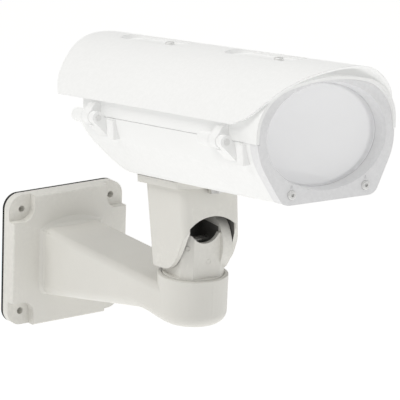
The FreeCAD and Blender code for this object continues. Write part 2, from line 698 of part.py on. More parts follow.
def bolt_seat():
    """A pad under the sloping back, level with the floor, for the rear flange bolt."""
    floor = size("shell_floor")
    pad = flange_outline(3.0, floor, -38.0)
    pad.translate(Vector(-size("seat_forward"), 0, 0))
    return pad.common(box((-90, -60, floor), (-42, 60, -38)))


def lower_shell():
    back, front = size("shell_back"), size("shell_front")
    wall = size("shell_wall")
    outer = shell_solid(0, back - 10, front, 0).cut(back_slope(0))
    inner = shell_solid(wall, back - 12, front + 1, 2.0).cut(back_slope(wall + 0.6))
    body = outer.cut(inner)
    for end in hinge_ends():
        body = body.fuse(shell_hinge(end))
    for place in lug_places():
        body = body.fuse(closure_lug(place, -14.0, -0.4))
    body = body.fuse(bolt_seat()).cut(inner)
    groove = seal_path(0.1, -2.1)
    body = body.cut(groove)
    for end in hinge_ends():
        body = body.cut(cylinder(size("hinge_pin") / 2, (end - 50, size("hinge_side"), 0),
                                 (end + 2, size("hinge_side"), 0)).common(
            box((end - 41, -100, -9), (end + 2, 0, 9))))
    for place in lug_places():
        body = body.cut(cylinder(3.2, (place, size("lug_side"), -11), (place, size("lug_side"), 2)))
    gland_place, gland_radius = floor_openings()
    floor = size("shell_floor")
    body = body.cut(cylinder(gland_radius, (gland_place, 0, floor - 2), (gland_place, 0, floor + 9)))
    front_bolt, rear_bolt = [place - size("seat_forward") for place in flange_bolt_places()]
    radius = size("flange_bolt") / 2
    body = body.cut(cylinder(radius + 0.3, (front_bolt, 0, floor - 2), (front_bolt, 0, floor + 9)))
    body = body.cut(cylinder(radius + 0.05, (rear_bolt, 0, floor - 2), (rear_bolt, 0, floor + 6.5)))
    return feature("lower_shell", body.removeSplitter(), housing_frame())


def seal_path(grow, low):
    """A U-shaped strip let into the top of the shell's wall, open at the front."""
    outer_in, inner_in = 1.0 - grow / 2, 2.2 + grow / 2
    outer = shell_solid(outer_in, size("shell_back") - 10, size("shell_front"), 0)
    outer = outer.cut(back_slope(outer_in))
    inner = shell_solid(inner_in, size("shell_back") - 12, size("shell_front") + 2, 2.0)
    inner = inner.cut(back_slope(inner_in))
    return outer.cut(inner).common(box((-300, -100, low), (300, 100, 3)))


def split_seal():
    strip = seal_path(0.0, -2.0).common(box((-300, -100, -5), (213, 100, -0.1)))
    return feature("split_seal", strip, housing_frame())


def hinge_pins():
    pins = []
    for end in hinge_ends():
        pin = cylinder(size("hinge_pin") / 2 - 0.02, (end - 40, size("hinge_side"), 0),
                       (end + 0.8, size("hinge_side"), 0))
        pins.append(pin)
    return group("hinge_pins", pins, housing_frame())


# ---------------------------------------------------------------- top cover

def cover_wire(station, inset, half, top, base):
    """Cross-section of the cover: upright sides, tight shoulders and a shallow crown."""
    half, top = half - inset, top - inset
    shoulder, crown = size("cover_shoulder") - inset, size("cover_crown") - inset
    centre_y = half - shoulder
    centre_z = top - crown + math.sqrt((crown - shoulder) ** 2 - centre_y ** 2)
    lean = math.atan2(centre_z - (top - crown), centre_y)
    meet = Vector(station, centre_y + shoulder * math.cos(lean), centre_z + shoulder * math.sin(lean))
    halfway = Vector(station, centre_y + shoulder * math.cos(lean / 2),
                     centre_z + shoulder * math.sin(lean / 2))
    side = Vector(station, half, centre_z)

    def flip(point):
        return Vector(point.x, -point.y, point.z)

    foot = Vector(station, half, base)
    return Part.Wire([
        Part.makeLine(flip(foot), foot), Part.makeLine(foot, side),
        Part.Arc(side, halfway, meet).toShape(),
        Part.Arc(meet, Vector(station, 0, top), flip(meet)).toShape(),
        Part.Arc(flip(meet), flip(halfway), flip(side)).toShape(),
        Part.makeLine(flip(side), flip(foot))])


def cover_solid(inset, back, front, base):
    """The cover's filled form: straight body, then a short flare to the front rim."""
    body_half, body_top = size("shell_half"), size("cover_top")
    rim_half, rim_top = size("rim_half"), size("rim_top")
    flare_back, flare_front = 200.0, 222.0
    first = cover_wire(back, inset, body_half, body_top, base)
    straight = Part.Face(first).extrude(Vector(flare_back - back, 0, 0))
    flare = Part.makeLoft([cover_wire(flare_back, inset, body_half, body_top, base),
                           cover_wire(flare_front, inset, rim_half, rim_top, base)], True, True)
    rim = Part.Face(cover_wire(flare_front, inset, rim_half, rim_top, base))
    rim = rim.extrude(Vector(front - flare_front, 0, 0))
    return straight.fuse(flare).fuse(rim)


def rim_cut():
    """Removes what stands in front of the rim's leaning front plane."""
    foot = size("bezel_front")
    rise = 70.0
    lean = rise * math.tan(math.radians(size("rim_lean")))
    points = [(foot, -100, -5), (foot, -100, 0), (foot + lean, -100, rise),
              (300, -100, rise), (300, -100, -5)]
    return extrude(points, (0, 200, 0))


def cover_lug(end):
    """The moving half of one hinge: an eye on the pin, carried by an arm from the cover."""
    side, radius = size("hinge_side"), size("hinge_radius")
    eye = cylinder(radius, (end - 22.2, side, 0), (end - 9.4, side, 0))
    wall_in = -size("shell_half") + 1.5
    arm = extrude([(end - 22.2, side - 4.5, 5), (end - 22.2, side, 0.3), (end - 22.2, wall_in, 0.3),
                   (end - 22.2, wall_in, 15), (end - 22.2, side + 2, 13)], (12.8, 0, 0))
    return eye.fuse(arm)


def cover_shell():
    back = size("shell_back")
    outer = cover_solid(0, back, 250, 0.4)
    rear = edges_where(outer, lambda edge: edge.BoundBox.XMax < back + 1e-3
                       and edge.BoundBox.ZMax > 1)
    outer = outer.makeFillet(12.0, rear)
    inner_back = back + size("cover_wall") + 0.4
    inner = cover_solid(size("cover_wall"), inner_back, 251, -1)
    inner = inner.makeFillet(9.0, edges_where(
        inner, lambda edge: edge.BoundBox.XMax < inner_back + 1e-3 and edge.BoundBox.ZMax > 1))
    body = outer.cut(inner)
    for end in hinge_ends():
        body = body.fuse(cover_lug(end))
    for place in lug_places():
        body = body.fuse(closure_lug(place, 0.2, 9.0))
    for place in (size("sun_screw_back"), size("sun_screw_front")):
        body = body.fuse(cylinder(8.0, (place, 0, 44.0), (place, 0, size("cover_top") - 1)))
    body = body.cut(rim_cut()).cut(inner.common(box((-200, -100, -2), (300, 100, 43.9))))
    for end in hinge_ends():
        hole = cylinder(size("hinge_pin") / 2 + size("pivot_gap"),
                        (end - 23, size("hinge_side"), 0), (end - 9, size("hinge_side"), 0))
        body = body.cut(hole)
    for place in lug_places():
        body = body.cut(cylinder(2.6, (place, size("lug_side"), -1), (place, size("lug_side"), 12)))
    for place in (size("sun_screw_back"), size("sun_screw_front")):
        body = body.cut(cylinder(2.1, (place, 0, 45.5), (place, 0, 60)))
    return feature("cover_shell", body.removeSplitter(), housing_frame())


def cover_screws():
    screws = []
    for place in lug_places():
        side = size("lug_side")
        screw = cylinder(2.5, (place, side, -9), (place, side, 10))
        screw = screw.fuse(cylinder(4.8, (place, side, 9.0), (place, side, 13.0)))
        screw = screw.cut(cylinder(2.0, (place, side, 10.5), (place, side, 14)))
        screws.append(screw)
    return group("cover_screws", screws, housing_frame())


# ---------------------------------------------------------------- sunshield

def side_curve(points):
    curve = Part.BSplineCurve()
    curve.interpolate([Vector(x, -120, z) for x, z in points])
    return curve.toShape()


def sunshield_profile():
    """Side view of the sunshield: both ends rake outwards towards the top."""
    edge, top = size("sun_edge"), 75.0
    front = [(196, edge), (206, 20), (222, 27), (238, 42.5), (257, 60), (269, 67), (276, top)]
    back = [(-131, edge), (-147, 32), (-162, 50.5), (-180, 65), (-202, top)]
    wire = Part.Wire([
        Part.makeLine(Vector(back[0][0], -120, edge), Vector(front[0][0], -120, edge)),
        side_curve(front),
        Part.makeLine(Vector(front[-1][0], -120, top), Vector(back[-1][0], -120, top)),
        side_curve(back[::-1])])
    return Part.Face(wire).extrude(Vector(0, 240, 0))


def dimple(place, shrink, low, high):
    """A long oval with its screw near the front end."""
    half_length = size("dimple_length") / 2 - shrink
    half_width = size("dimple_width") / 2 - shrink
    centre = place - 22.0
    return rounded_block((centre - half_length, -half_width, low),
                         (centre + half_length, half_width, high), half_width - 0.05,
                         Vector(0, 0, 1))


def sunshield():
    radius, centre = size("sun_radius"), size("sun_centre")
    start, end = (-210, 0, centre), (290, 0, centre)
    full = cylinder(radius, start, end)
    body = full.cut(cylinder(radius - size("sun_thick"), start, end))
    for place in (size("sun_screw_back"), size("sun_screw_front")):
        pad = dimple(place, -2.5, size("dimple_floor") - 2.6, 90).common(full)
        body = body.fuse(pad)
    body = body.common(sunshield_profile())
    for place in (size("sun_screw_back"), size("sun_screw_front")):
        body = body.cut(dimple(place, 0, size("dimple_floor"), 90))
        body = body.cut(cylinder(2.3, (place, 0, 50), (place, 0, 80)))
    return feature("sunshield", body.removeSplitter(), housing_frame())


def sunshield_fixings():
    spacers, screws = [], []
    floor = size("dimple_floor")
    for place in (size("sun_screw_back"), size("sun_screw_front")):
        spacer = cylinder(7.0, (place, 0, size("cover_top")), (place, 0, floor - 2.6))
        spacers.append(spacer.cut(cylinder(2.2, (place, 0, 50), (place, 0, 70))))
        screw = cylinder(2.05, (place, 0, 46.5), (place, 0, floor + 1))
        head = cylinder(4.6, (place, 0, floor), (place, 0, floor + 3.0))
        head = head.makeFillet(1.4, edges_where(
            head, lambda edge: edge.BoundBox.ZMin > floor + 2.9))
        screw = screw.fuse(head)
        slot = hex_prism(3.4, floor + 1.4, floor + 4, "z")
        slot.translate(Vector(place, 0, 0))
        screws.append(screw.cut(slot))
    group("sunshield_spacers", spacers, housing_frame())
    group("sunshield_screws", screws, housing_frame())


# ---------------------------------------------------------------- window

def oval(station, half_width, half_height):
    major, minor = max(half_width, half_height), min(half_width, half_height)
    centre = Vector(station, 0, size("window_centre"))
    ellipse = Part.Ellipse(centre + Vector(0, major, 0), centre + Vector(0, 0, minor), centre)
    return Part.Wire([ellipse.toShape()])


def oval_slab(low, high, grow=0.0):
    half_width = size("window_half_width") + grow
    half_height = size("window_half_height") + grow
    face = Part.Face(oval(low, half_width, half_height))
    return face.extrude(Vector(high - low, 0, 0))


def window_levels():
    """Stations of the bezel's lip, gasket, glass and clamp, from front to back."""
    lip = size("shell_front")
    gasket = lip - 1.0
    glass = gasket - size("glass_thick")
    return lip, gasket, glass, glass - 3.0


def bezel_blank(back, front, inset):
    """Outer form of the bezel: the shell's outline below, nested in the cover above."""
    lower = shell_solid(inset, back, front, 0)
    gap = size("cover_wall") + size("bezel_gap") + inset
    upper = cover_solid(gap, 190, front, -4)
    return lower.fuse(upper.common(box((back, -100, -10), (front, 100, 90))))


def front_bezel():
    front, back = size("bezel_front"), size("shell_front")
    lip, gasket, glass, clamp = window_levels()
    body = bezel_blank(back, front, 0).fuse(bezel_blank(clamp, back + 0.5, size("shell_wall") + 0.4))
    bevel = Part.makeLoft([
        oval(lip - 0.5, size("window_half_width"), size("window_half_height")),
        oval(front + 0.5, size("window_half_width") + size("bevel_wider"),
             size("window_half_height") + size("bevel_higher"))], True, True)
    body = body.cut(bevel).cut(oval_slab(clamp - 1, lip, size("glass_lip") - 0.6))
    body = body.cut(oval_slab(lip - 2, lip + 2))
    for side in (-1, 1):
        across, level = side * size("bezel_screw_side"), size("bezel_screw_height")
        body = body.cut(cylinder(4.6, (front - 1.2, across, level), (front + 1, across, level)))
        body = body.cut(cylinder(2.2, (back - 12, across, level), (front + 1, across, level)))
        notch = box((front - 1.0, across - 1.2, level + 6.4), (front + 1, across + 1.2, level + 9.0))
        body = body.cut(notch)
    return feature("front_bezel", body.removeSplitter(), housing_frame())


def window_parts():
    lip, gasket, glass, clamp = window_levels()
    grow = size("glass_lip") - 0.8
    seal = oval_slab(gasket, lip, grow).cut(oval_slab(gasket - 1, lip + 1, 0.2))
    feature("window_gasket", seal, housing_frame())
    feature("window_glass", oval_slab(glass, gasket, grow), housing_frame())
    ring = oval_slab(clamp, glass, grow).cut(oval_slab(clamp - 1, glass + 1, -1.5))
    feature("window_clamp", ring, housing_frame())


def bezel_screws():
    screws = []
    front = size("bezel_front")
    for side in (-1, 1):
        across, level = side * size("bezel_screw_side"), size("bezel_screw_height")
        screw = cylinder(2.15, (front - 20, across, level), (front - 1, across, level))
        head = cylinder(4.3, (front - 1.2, across, level), (front + 1.8, across, level))
        head = head.makeFillet(1.2, edges_where(
            head, lambda edge: edge.BoundBox.XMin > front + 1.7))
        socket = hex_prism(3.0, 0, 3, "z")
        socket.rotate(Vector(), Vector(0, 1, 0), 90)
        socket.translate(Vector(front, across, level))
        screws.append(screw.fuse(head).cut(socket))
    return group("bezel_screws", screws, housing_frame())


# ---------------------------------------------------------------- inside the housing

def inside(x, y, z):
    return housing_frame() * Placement(Vector(x, y, z), Rotation())


def mounting_tray():
    gland_place = floor_openings()[0]
    nut_place = flange_bolt_places()[0] - size("seat_forward")
    low = size("tray_top") - size("tray_thick")
    tray = rounded_block((-46, -43, low), (190, 43, size("tray_top")), 6.0, Vector(0, 0, 1))
    tray = tray.cut(cylinder(17.5, (gland_place, 0, low - 1), (gland_place, 0, low + 9)))
    tray = tray.cut(cylinder(9.0, (nut_place, 0, low - 1), (nut_place, 0, low + 9)))
    tray = tray.cut(rounded_block((70, -3.2, low - 1), (150, 3.2, low + 9), 3.1, Vector(0, 0, 1)))
    floor = size("shell_floor") + size("shell_wall")
    for x in (-34.0, 176.0):
        for y in (-28.0, 28.0):
            tray = tray.fuse(cylinder(4.0, (x, y, floor), (x, y, low + 0.5)))
    return feature("mounting_tray", tray.removeSplitter(), housing_frame())


def flange_nut():
    place = flange_bolt_places()[0] - size("seat_forward")
    floor = size("shell_floor") + size("shell_wall")
    nut = hex_prism(13.0, floor, floor + 5.0, "z")
    nut = nut.cut(cylinder(size("flange_bolt") / 2 + 0.05, (0, 0, floor - 1), (0, 0, floor + 9)))
    nut.translate(Vector(place, 0, 0))
    feature("flange_nut", nut, housing_frame())


def cable_gland():
    place, radius = floor_openings()
    floor = size("shell_floor")
    hexagon = hex_prism(25.0, floor - 8.0, floor, "z")
    hexagon.translate(Vector(place, 0, 0))
    body = hexagon.fuse(cylinder(radius - 0.1, (place, 0, floor - 1), (place, 0, floor + 8.0)))
    dome = cylinder(11.5, (place, 0, floor - 20), (place, 0, floor - 7))
    dome = dome.makeFillet(3.0, edges_where(
        dome, lambda edge: edge.BoundBox.ZMax < floor - 19.9))
    body = body.fuse(dome).cut(cylinder(4.5, (place, 0, floor - 30), (place, 0, floor + 20)))
    feature("cable_gland", body, housing_frame())
    nut_low = floor + size("shell_wall")
    nut = hex_prism(24.0, nut_low, nut_low + 4.0, "z")
    nut = nut.cut(cylinder(radius - 0.05, (0, 0, nut_low - 1), (0, 0, nut_low + 9)))
    nut.translate(Vector(place, 0, 0))
    feature("gland_locknut", nut, housing_frame())


def electronics():
    panel_body("power_board", "70", "46", "1.6", housing_frame() * Placement(
        Vector(10, -46.4, -14), Rotation(Vector(1, 0, 0), 90)),
        holes=((-31, -19, 1.6), (31, -19, 1.6), (-31, 19, 1.6), (31, 19, 1.6)))
    bracket = rounded_block((-26, -42.2, size("tray_top")), (46, -40.7, 9), 1.0, Vector(0, 1, 0))
    feature("board_bracket", bracket, housing_frame())
    posts = []
    for x in (-21.0, 41.0):
        for z in (-33.0, 5.0):
            posts.append(cylinder(2.6, (x, -46.4, z), (x, -42.2, z)))
    group("board_pillars", posts, housing_frame())
    block = rounded_block((-6, -57.2, -22), (26, -48.0, -10), 1.0, Vector(0, 0, 1))
    for step in range(4):
        block = block.cut(cylinder(2.2, (-1 + 7.5 * step, -58, -14), (-1 + 7.5 * step, -52, -14)))
    feature("terminal_block", block, housing_frame())
    heater = box((90, -44, size("tray_top")), (150, -41, -26))
    for step in range(8):
        at = 92 + 7.6 * step
        heater = heater.fuse(box((at, -41.2, size("tray_top")), (at + 2.0, -30, -26)))
    feature("heater", heater, housing_frame())


def camera_unit():
    tray_top = size("tray_top")
    back, half = size("camera_back"), size("camera_half")
    low = size("camera_low")
    high = low + size("camera_height")
    front = back + size("camera_length")
    sled = rounded_block((-32, -24, tray_top + 0.1), (62, 24, tray_top + 2.1), 4.0, Vector(0, 0, 1))
    sled = sled.fuse(box((-10, -20, tray_top + 2.0), (30, 20, low)))
    feature("camera_sled", sled, housing_frame())
    case = rounded_block((back, -half, low), (front, half, high), 3.0)
    feature("camera_body", case, housing_frame())
    axis = 0.5 * (low + high)
    mount = cylinder(19.0, (front, 0, axis), (front + 6, 0, axis))
    barrel = cylinder(17.0, (front + 6, 0, axis), (size("lens_front"), 0, axis))
    barrel = barrel.fuse(cylinder(21.0, (size("lens_front") - 8, 0, axis),
                                  (size("lens_front"), 0, axis)))
    barrel = barrel.fuse(mount)
    barrel = barrel.cut(cylinder(15.5, (size("lens_front") - 3, 0, axis),
                                 (size("lens_front") + 1, 0, axis)))
    feature("lens_barrel", barrel, housing_frame())
    glass = cylinder(15.3, (size("lens_front") - 3, 0, axis), (size("lens_front") - 1, 0, axis))
    feature("lens_glass", glass, housing_frame())
    ring_low = front + 10
    focus = housing_frame() * Placement(Vector(ring_low, 0, axis), Rotation(Vector(0, 1, 0), 90))
    ring_body("focus_ring", "Sizes.lens_radius", "17 + 0.08", "14", focus)
    sockets = [cylinder(6.0, (back - 9, 12, axis), (back, 12, axis)),
               cylinder(4.0, (back - 9, -12, axis), (back, -12, axis))]
    group("camera_connectors", sockets, housing_frame())


def build():
    wall_gasket()
    bracket_casting()
    pan_lock_screw()
    bottom_plug()
    swivel_knuckle()
    swivel_fittings()
    yoke()
    tilt_pivot()
    flange_fasteners()
    yoke_gasket()
    lower_shell()
    split_seal()
    hinge_pins()
    cover_shell()
    cover_screws()
    sunshield()
    sunshield_fixings()
    front_bezel()
    window_parts()
    bezel_screws()
    mounting_tray()
    flange_nut()
    cable_gland()
    electronics()
    camera_unit()


def check_and_export():
    doc.recompute()
    for obj in doc.Objects:
        if "Invalid" in obj.State or "Error" in obj.State:
            raise RuntimeError("failed: " + obj.Label)
    for node in NODES:
        shape = node.Shape
        if shape.isNull() or not shape.isValid() or not shape.Solids:
            raise RuntimeError("bad shape: " + node.Label)
        print("%-22s solids %d volume %.0f" % (node.Label, len(shape.Solids), shape.Volume))
        shape.exportStep("parts/%s.step" % node.Label)
    print(len(NODES), "nodes")


build()
check_and_export()
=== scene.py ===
import json
import math

import bmesh
import bpy
from mathutils import Matrix, Vector


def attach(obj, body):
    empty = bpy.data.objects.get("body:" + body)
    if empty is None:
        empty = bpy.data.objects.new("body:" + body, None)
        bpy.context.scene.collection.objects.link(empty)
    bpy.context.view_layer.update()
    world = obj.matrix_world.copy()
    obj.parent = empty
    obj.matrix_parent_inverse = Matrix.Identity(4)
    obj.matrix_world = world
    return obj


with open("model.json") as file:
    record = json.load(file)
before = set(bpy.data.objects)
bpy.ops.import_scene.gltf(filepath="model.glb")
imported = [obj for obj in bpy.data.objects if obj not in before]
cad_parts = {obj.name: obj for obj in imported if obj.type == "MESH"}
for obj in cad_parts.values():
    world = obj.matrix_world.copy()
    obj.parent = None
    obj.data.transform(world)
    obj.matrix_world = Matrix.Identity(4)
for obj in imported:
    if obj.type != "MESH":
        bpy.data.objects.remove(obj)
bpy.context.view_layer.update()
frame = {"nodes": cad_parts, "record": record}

# The view: where the camera stands, in the row frame, and how it is turned.
CAMERA_PLACE = Vector((2.6674, -1.7675, 0.9919))
CAMERA_AZIMUTH = math.radians(53.854)
CAMERA_HEIGHT = math.radians(16.277)
CAMERA_ROLL = math.radians(1.931)
CAMERA_LENS = 288.0
SENSOR = 36.0

# The head's pose at rest, as the CAD has it.
PIVOT = Vector((0.240, 0.0, 0.073))
PAN = math.radians(-4.7)
TILT = math.radians(8.4)
LIGHT_AIM = (0.25, 0.0, 0.10)
FLOOR_LEVEL = -1.3
FLOOR_HALF = 40.0
WHITE = (1.0, 1.0, 1.0)

# The knuckle's outside, from the pivot: how far its front face stands, and how far forward and
# left the facet beside it runs.
KNUCKLE_FRONT = 0.026
FACET_FORWARD = 0.0082
FACET_LEFT = 0.0094

# An ejector pin's ring mark.
PIN_INNER = 0.0020
PIN_OUTER = 0.0026
PIN_PROUD = 0.00025
PIN_SUNK = 0.0002
PIN_STEPS = 48


def head_axes():
    """Forward, left and up of the tilted head, in the row frame."""
    forward = Vector((math.cos(PAN) * math.cos(TILT),
                      math.sin(PAN) * math.cos(TILT),
                      math.sin(TILT)))
    left = Vector((-math.sin(PAN), math.cos(PAN), 0.0))
    return forward, left, forward.cross(left)


def swivel_axes():
    """Forward, left and up of the swivel, which pans but stays level."""
    forward = Vector((math.cos(PAN), math.sin(PAN), 0.0))
    return forward, Vector((-forward.y, forward.x, 0.0)), Vector((0.0, 0.0, 1.0))


# ---------------------------------------------------------------- camera, light, floor

def add_camera():
    """A long lens, with its place and roll as in the pictured view."""
    back = Vector((math.sin(CAMERA_AZIMUTH) * math.cos(CAMERA_HEIGHT),
                   -math.cos(CAMERA_AZIMUTH) * math.cos(CAMERA_HEIGHT),
                   math.sin(CAMERA_HEIGHT)))
    level = (-back).cross(Vector((0.0, 0.0, 1.0))).normalized()
    upright = level.cross(-back)
    right = level * math.cos(CAMERA_ROLL) + upright * math.sin(CAMERA_ROLL)
    above = upright * math.cos(CAMERA_ROLL) - level * math.sin(CAMERA_ROLL)
    data = bpy.data.cameras.new("photo_view")
    data.lens = CAMERA_LENS
    data.sensor_width = SENSOR
    data.clip_start = 0.1
    data.clip_end = 60.0
    camera = bpy.data.objects.new("photo_view", data)
    turn = Matrix((right, above, back)).transposed().to_4x4()
    camera.matrix_world = Matrix.Translation(CAMERA_PLACE) @ turn
    bpy.context.collection.objects.link(camera)
    bpy.context.scene.camera = camera


def add_area(name, place, side, power, tint):
    """A square soft light aimed at the middle of the object."""
    data = bpy.data.lights.new(name, "AREA")
    data.shape = "SQUARE"
    data.size = side
    data.energy = power
    data.color = tint
    light = bpy.data.objects.new(name, data)
    light.location = place
    light.rotation_euler = (Vector(LIGHT_AIM) - Vector(place)).to_track_quat("-Z", "Y").to_euler()
    bpy.context.collection.objects.link(light)


def add_light():
    """Even white surroundings, a soft key on the object's right, a fill and a top light."""
    world = bpy.data.worlds.new("studio")
    world.use_nodes = True
    background = world.node_tree.nodes["Background"]
    background.inputs["Color"].default_value = (1.0, 0.995, 0.985, 1.0)
    background.inputs["Strength"].default_value = 0.44
    bpy.context.scene.world = world
    add_area("key", (-0.5, -2.1, 2.3), 1.5, 32.0, (1.0, 0.99, 0.97))
    add_area("fill", (1.6, 2.6, 0.7), 1.4, 7.0, (0.97, 0.985, 1.0))
    add_area("top", (0.6, -0.2, 2.7), 1.2, 19.0, WHITE)
    bpy.context.scene.view_settings.view_transform = "Standard"


def add_floor():
    """A plain pale floor, bright enough to read as a white backdrop."""
    mesh = bpy.data.meshes.new("floor")
    corners = [(FLOOR_HALF * x, FLOOR_HALF * y, FLOOR_LEVEL)
               for x, y in ((-1, -1), (1, -1), (1, 1), (-1, 1))]
    mesh.from_pydata(corners, [], [(0, 1, 2, 3)])
    floor = bpy.data.objects.new("floor", mesh)
    bpy.context.collection.objects.link(floor)
    material = Surface("studio_floor")
    material.value("Roughness", 0.9)
    material.value("Specular IOR Level", 0.0)
    material.glow(0.62)
    material.tone((0.84, 0.84, 0.83), 0.01, 0.4)
    mesh.materials.append(material.material)


# ---------------------------------------------------------------- materials

class Surface:
    """A node material on one Principled shader, built up by small named steps."""

    def __init__(self, name):
        self.material = bpy.data.materials.new(name)
        self.material.use_nodes = True
        self.tree = self.material.node_tree
        self.shader = self.tree.nodes["Principled BSDF"]
        self.place = self.node("ShaderNodeTexCoord").outputs["Object"]
        self.colour = None
        self.normal = None

    def value(self, socket, number):
        self.shader.inputs[socket].default_value = number

    def glow(self, strength, colour=WHITE):
        self.value("Emission Color", (*colour, 1.0))
        self.value("Emission Strength", strength)

    def node(self, kind, **values):
        made = self.tree.nodes.new(kind)
        for name, value in values.items():
            setattr(made, name, value)
        return made

    def join(self, source, target):
        self.tree.links.new(source, target)

    def noise(self, per_metre, detail=4.0, rough=0.55, stretch=(1.0, 1.0, 1.0)):
        mapping = self.node("ShaderNodeMapping")
        mapping.inputs["Scale"].default_value = stretch
        self.join(self.place, mapping.inputs["Vector"])
        made = self.node("ShaderNodeTexNoise")
        made.inputs["Scale"].default_value = per_metre
        made.inputs["Detail"].default_value = detail
        made.inputs["Roughness"].default_value = rough
        self.join(mapping.outputs["Vector"], made.inputs["Vector"])
        return made.outputs["Fac"]

    def remap(self, source, from_low, from_high, to_low, to_high):
        made = self.node("ShaderNodeMapRange")
        made.inputs["From Min"].default_value = from_low
        made.inputs["From Max"].default_value = from_high
        made.inputs["To Min"].default_value = to_low
        made.inputs["To Max"].default_value = to_high
        self.join(source, made.inputs["Value"])
        return made.outputs["Result"]

    def blend(self, amount, first, second):
        """Mixes two colours, each a plain colour or a socket."""
        made = self.node("ShaderNodeMix", data_type="RGBA")
        self.join(amount, made.inputs["Factor"])
        for socket, value in ((made.inputs[6], first), (made.inputs[7], second)):
            if isinstance(value, tuple):
                socket.default_value = (*value, 1.0)
            else:
                self.join(value, socket)
        return made.outputs[2]

    def tone(self, colour, spread, per_metre, second=None):
        """Base colour that drifts gently over the surface."""
        darker = tuple(channel * (1.0 - spread) for channel in colour)
        lighter = second or tuple(min(1.0, channel * (1.0 + spread)) for channel in colour)
        drift = self.remap(self.noise(per_metre), 0.3, 0.7, 0.0, 1.0)
        self.colour = self.blend(drift, darker, lighter)
        self.join(self.colour, self.shader.inputs["Base Color"])

    def overlay(self, amount, colour):
        """Lays another colour over the base where amount is high."""
        self.colour = self.blend(amount, self.colour, colour)
        self.join(self.colour, self.shader.inputs["Base Color"])

    def edges(self, start, end, strength):
        """How much an outer edge is rubbed, broken up by noise."""
        sharp = self.remap(self.node("ShaderNodeNewGeometry").outputs["Pointiness"],
                           start, end, 0.0, strength)
        rubbed = self.node("ShaderNodeMath", operation="MULTIPLY")
        self.join(sharp, rubbed.inputs[0])
        self.join(self.remap(self.noise(260.0), 0.42, 0.62, 0.0, 1.0), rubbed.inputs[1])
        return rubbed.outputs[0]

    def roughness(self, low, high, per_metre):
        """Roughness that wanders between two values."""
        self.join(self.remap(self.noise(per_metre, 5.0), 0.3, 0.7, low, high),
                  self.shader.inputs["Roughness"])

    def soften(self, radius):
        """Rounds the look of sharp edges by this radius."""
        bevel = self.node("ShaderNodeBevel", samples=4)
        bevel.inputs["Radius"].default_value = radius
        self.normal = bevel.outputs["Normal"]
        self.join(self.normal, self.shader.inputs["Normal"])

    def relief(self, height, strength, depth):
        """Bump from a height pattern, on top of any softened edges."""
        bump = self.node("ShaderNodeBump")
        bump.inputs["Strength"].default_value = strength
        bump.inputs["Distance"].default_value = depth
        self.join(height, bump.inputs["Height"])
        if self.normal:
            self.join(self.normal, bump.inputs["Normal"])
        self.normal = bump.outputs["Normal"]
        self.join(self.normal, self.shader.inputs["Normal"])


def casting_coat(name="casting_coat", colour=(0.715, 0.703, 0.660)):
    """Powder coat on a casting: faint orange peel, satin sheen, dust in the texture."""
    coat = Surface(name)
    coat.tone(colour, 0.02, 9.0)
    coat.overlay(coat.remap(coat.noise(420.0, 2.0), 0.60, 0.78, 0.0, 0.22),
                 tuple(channel * 0.86 for channel in colour))
    coat.overlay(coat.edges(0.53, 0.60, 0.35), tuple(min(1.0, c * 1.16) for c in colour))
    coat.roughness(0.38, 0.52, 60.0)
    coat.soften(0.0007)
    coat.relief(coat.noise(700.0, 3.0), 0.16, 0.0004)
    coat.value("Specular IOR Level", 0.45)
    return coat


def yoke_coat_painted_shade():
    """The same coat, with painted shade: the pocket between the cheeks is painted near-black where
    shadow falls.
    """
    coat = casting_coat("yoke_coat_painted_shade")
    # Painted shade: a box mask darkens the pocket between the cheeks to near-black.
    inside = pocket_mask(coat, PIVOT, head_axes(),
                         ((-0.0325, 0.0345), (-0.0260, 0.0260), (-0.10, 0.0525)))
    coat.overlay(inside, (0.10, 0.098, 0.093))
    return coat


def knuckle_coat_painted_shade():
    """The same coat, with painted shade: the hollow between the ears is painted dark where shadow
    falls.
    """
    coat = casting_coat("knuckle_coat_painted_shade")
    # Painted shade: a box mask darkens the hollow between the ears.
    inside = pocket_mask(coat, PIVOT, swivel_axes(),
                         ((-0.0212, 0.0212), (-0.0192, 0.0192), (-0.10, 0.0190)))
    coat.overlay(inside, (0.16, 0.156, 0.148))
    return coat


def pocket_mask(surface, origin, axes, spans):
    """1 inside a box given by spans along three axes from an origin, 0 outside."""
    offset = surface.node("ShaderNodeVectorMath", operation="SUBTRACT")
    surface.join(surface.place, offset.inputs[0])
    offset.inputs[1].default_value = origin
    result = None
    for axis, (low, high) in zip(axes, spans):
        along = surface.node("ShaderNodeVectorMath", operation="DOT_PRODUCT")
        surface.join(offset.outputs["Vector"], along.inputs[0])
        along.inputs[1].default_value = axis
        near = surface.node("ShaderNodeMath", operation="COMPARE")
        surface.join(along.outputs["Value"], near.inputs[0])
        near.inputs[1].default_value = 0.5 * (low + high)
        near.inputs[2].default_value = 0.5 * (high - low)
        if result is None:
            result = near.outputs[0]
            continue
        both = surface.node("ShaderNodeMath", operation="MULTIPLY")
        surface.join(result, both.inputs[0])
        surface.join(near.outputs[0], both.inputs[1])
        result = both.outputs[0]
    return result


def housing_plastic():
    """Near-white moulded plastic with a fine spark-eroded grain, and a painted glow that keeps it
    bright in the shade.
    """
    shell = Surface("housing_plastic")
    shell.tone((0.675, 0.678, 0.670), 0.006, 7.0)
    shell.overlay(shell.edges(0.53, 0.60, 0.3), (0.74, 0.74, 0.735))
    shell.overlay(shell.remap(shell.noise(35.0, 6.0), 0.62, 0.80, 0.0, 0.08), (0.635, 0.63, 0.615))
    shell.roughness(0.34, 0.46, 45.0)
    shell.soften(0.0006)
    shell.relief(shell.noise(1400.0, 2.0), 0.10, 0.0002)
    shell.value("Specular IOR Level", 0.4)
    # Painted light: an even glow brightens the plastic where it is in shade.
    shell.glow(0.21, (1.0, 1.0, 0.995))
    return shell


